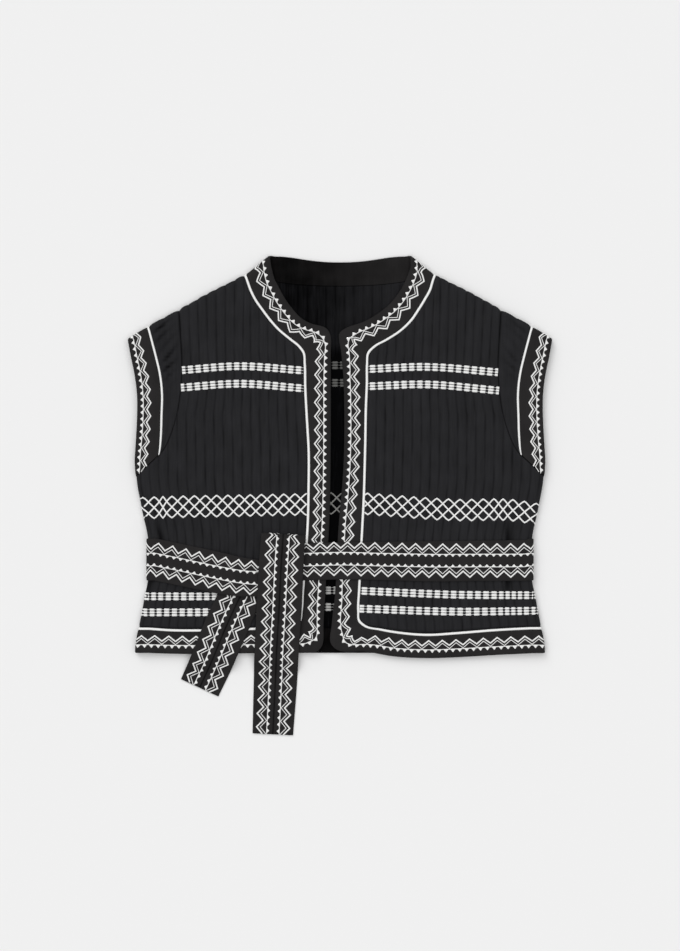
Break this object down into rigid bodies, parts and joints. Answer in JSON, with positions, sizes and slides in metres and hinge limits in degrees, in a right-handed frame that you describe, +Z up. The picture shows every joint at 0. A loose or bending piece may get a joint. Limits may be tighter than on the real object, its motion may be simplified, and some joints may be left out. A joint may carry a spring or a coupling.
{
  "type": "embroidered vest",
  "caption": "Cropped quilted vest with cap sleeves, piped bands and white braid embroidery, laid flat with its own belt tied in front.",
  "frame": {"origin": "centre of the footprint on the table", "axes": "+X to the right and +Y to the neck as seen from above, +Z up from the table, with the fronts on top"},
  "size_m": [0.508, 0.5751, 0.019],
  "materials": {
    "quilted_cotton": "matt quilted cotton",
    "band_twill": "matt cotton twill",
    "belt_twill": "matt cotton twill",
    "white_piping": "satin cord",
    "white_thread": "embroidery thread"
  },
  "bodies": {
    "root": {"back_hem_band": "band_twill", "back_neck_band": "band_twill", "back_panel": "quilted_cotton", "band_left": "band_twill", "band_right": "band_twill", "belt_round": "belt_twill", "belt_tail_long": "belt_twill", "belt_tail_short": "belt_twill", "front_left": "quilted_cotton", "front_right": "quilted_cotton", "piping_left": "white_piping", "piping_right": "white_piping", "sleeve_band_left": "band_twill", "sleeve_band_right": "band_twill", "sleeve_left": "quilted_cotton", "sleeve_piping_left": "white_piping", "sleeve_piping_right": "white_piping", "sleeve_right": "quilted_cotton"}
  },
  "joints": []
}
